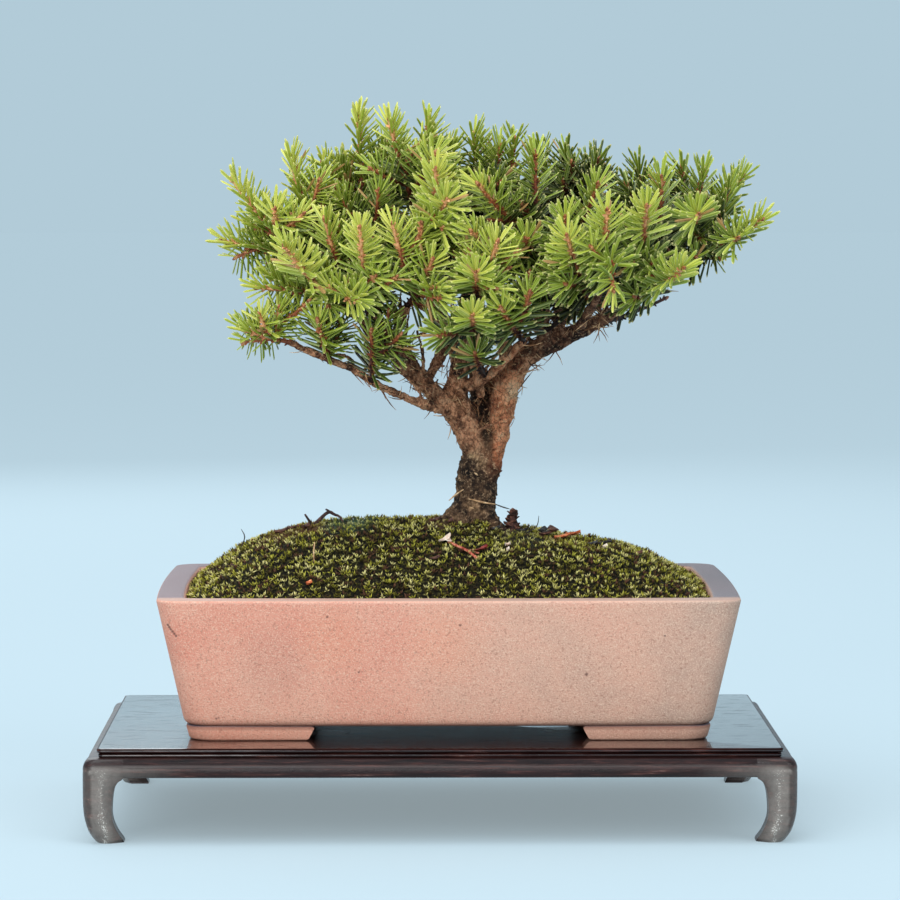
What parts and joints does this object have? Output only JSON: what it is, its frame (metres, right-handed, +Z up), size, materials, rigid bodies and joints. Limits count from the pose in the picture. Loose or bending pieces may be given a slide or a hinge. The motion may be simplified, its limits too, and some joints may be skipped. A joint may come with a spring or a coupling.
{
  "type": "yatsubusa ezo spruce bonsai",
  "caption": "Dwarf spruce bonsai with a forked trunk and upswept sprays of short needles, rooted in a moss mound in a shallow footed clay pot on a low lacquered stand.",
  "frame": {"origin": "on the ground under the middle of the stand", "axes": "+Z up along the trunk, +X to the viewer's right along the long side of the pot and stand, +Y away from the viewer"},
  "size_m": [0.1956, 0.129, 0.2064],
  "materials": {
    "lacquered_wood": "satin",
    "unglazed_clay": "matte",
    "screen_plastic": "matte",
    "soil": "matte",
    "moss": "matte",
    "bark": "matte",
    "needles": "satin",
    "dry_scraps": "matte",
    "dry_petal": "matte"
  },
  "bodies": {
    "root": {"stand_top": "lacquered_wood", "stand_rail_front": "lacquered_wood", "stand_rail_right": "lacquered_wood", "stand_rail_back": "lacquered_wood", "stand_rail_left": "lacquered_wood", "stand_leg_front_left": "lacquered_wood", "stand_leg_front_right": "lacquered_wood", "stand_leg_back_left": "lacquered_wood", "stand_leg_back_right": "lacquered_wood", "pot": "unglazed_clay", "drain_mesh_left": "screen_plastic", "drain_mesh_right": "screen_plastic", "tree": "bark", "soil": "soil", "moss": "moss", "cone_scale": "dry_scraps", "dry_twig": "dry_scraps", "dry_petal": "dry_petal", "spray_01": "needles", "spray_02": "needles", "spray_03": "needles", "spray_04": "needles", "spray_05": "needles", "spray_06": "needles", "spray_07": "needles", "spray_08": "needles", "spray_09": "needles", "spray_10": "needles", "spray_11": "needles", "spray_12": "needles", "spray_13": "needles", "spray_14": "needles", "spray_15": "needles", "spray_16": "needles", "spray_17": "needles", "spray_18": "needles", "spray_19": "needles", "spray_20": "needles", "spray_21": "needles", "spray_22": "needles", "spray_23": "needles", "spray_24": "needles", "spray_25": "needles", "spray_26": "needles", "spray_27": "needles", "spray_28": "needles", "spray_29": "needles", "spray_30": "needles", "spray_31": "needles", "spray_32": "needles", "spray_33": "needles", "spray_34": "needles", "spray_35": "needles", "spray_36": "needles", "spray_37": "needles", "spray_38": "needles", "spray_39": "needles", "spray_40": "needles", "spray_41": "needles", "spray_42": "needles"}
  },
  "joints": []
}
